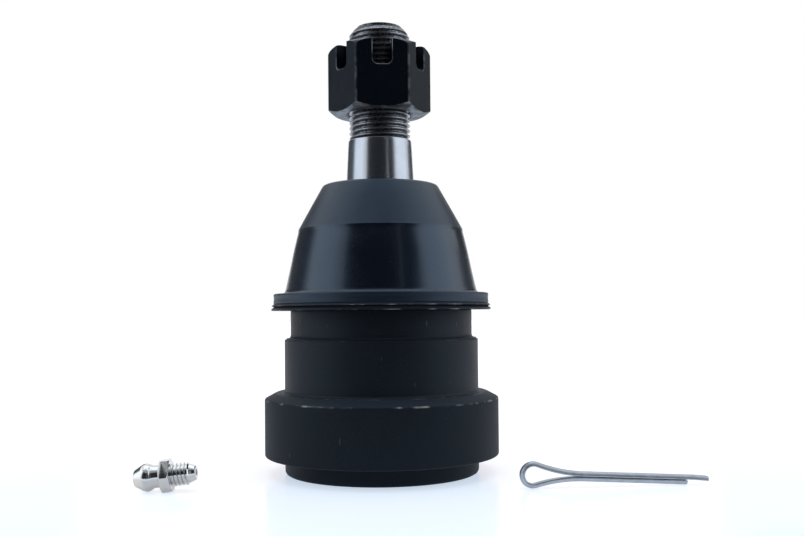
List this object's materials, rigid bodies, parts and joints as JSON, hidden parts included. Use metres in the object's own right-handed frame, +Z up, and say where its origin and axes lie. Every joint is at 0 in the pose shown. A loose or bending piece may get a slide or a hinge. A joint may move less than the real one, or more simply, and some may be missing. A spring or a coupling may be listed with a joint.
{
  "type": "suspension ball joint",
  "caption": "Press-in suspension ball joint: collared steel housing, rubber boot, swinging tapered stud with a castle nut, and a loose grease fitting and cotter pin.",
  "frame": {"origin": "centre of the rim that the joint stands on, on the stud's axis", "axes": "+Z up the stud from the housing to the nut; +X to the right and -Y towards a viewer who sees the grease fitting on the left and the cotter pin on the right"},
  "size_m": [0.1494, 0.0676, 0.1286],
  "materials": {
    "coated_steel": "black phosphate and oil, matt",
    "boot_rubber": "smooth moulded rubber, slightly glossy",
    "ring_steel": "black coated, satin",
    "stud_steel": "turned and ground, bright",
    "nut_steel": "black oxide, satin",
    "bearing_steel": "sintered and greased",
    "spring_steel": "blued",
    "zinc_plate": "bright zinc plate",
    "nickel_plate": "bright nickel plate"
  },
  "bodies": {
    "housing_body": {"housing": "coated_steel", "cover_plate": "coated_steel", "upper_bearing": "bearing_steel", "pressure_cup": "bearing_steel", "preload_spring": "spring_steel", "boot_ring": "ring_steel"},
    "skirt_body": {"boot_skirt": "boot_rubber"},
    "cone_body": {"boot_cone": "boot_rubber"},
    "stud_body": {"ball_stud": "stud_steel"},
    "nut_body": {"castle_nut": "nut_steel"},
    "pin_body": {"cotter_pin": "zinc_plate"},
    "fitting_body": {"grease_fitting": "nickel_plate", "check_spring": "spring_steel"},
    "check_ball_body": {"check_ball": "bearing_steel"}
  },
  "joints": [
    {"name": "swing_about_x", "type": "hinge", "parent": "housing_body", "child": "skirt_body", "pos_m": [0, 0, 0.0265], "axis": [1, 0, 0], "range_deg": [-18, 18], "deforming": ["boot_skirt"]},
    {"name": "swing_about_y", "type": "hinge", "parent": "skirt_body", "child": "cone_body", "pos_m": [0, 0, 0.0265], "axis": [0, 1, 0], "range_deg": [-18, 18], "deforming": ["boot_cone"]},
    {"name": "stud_turn", "type": "hinge", "parent": "cone_body", "child": "stud_body", "pos_m": [0, 0, 0.0265], "axis": [0, 0, 1], "continuous": true},
    {"name": "nut_travel", "type": "slide", "parent": "stud_body", "child": "nut_body", "axis": [0, 0, 1], "range_m": [-0.0075, 0.026]},
    {"name": "pin_lift", "type": "slide", "parent": "housing_body", "child": "pin_body", "axis": [0, 0, 1], "range_m": [0, 0.04]},
    {"name": "fitting_lift", "type": "slide", "parent": "housing_body", "child": "fitting_body", "axis": [0, 0, 1], "range_m": [0, 0.04]},
    {"name": "check_ball_travel", "type": "slide", "parent": "fitting_body", "child": "check_ball_body", "axis": [0.9953, 0, 0.0968], "range_m": [0, 0.001], "stiffness_N_per_m": 300, "springref_m": -0.002, "deforming": ["check_spring"]}
  ]
}
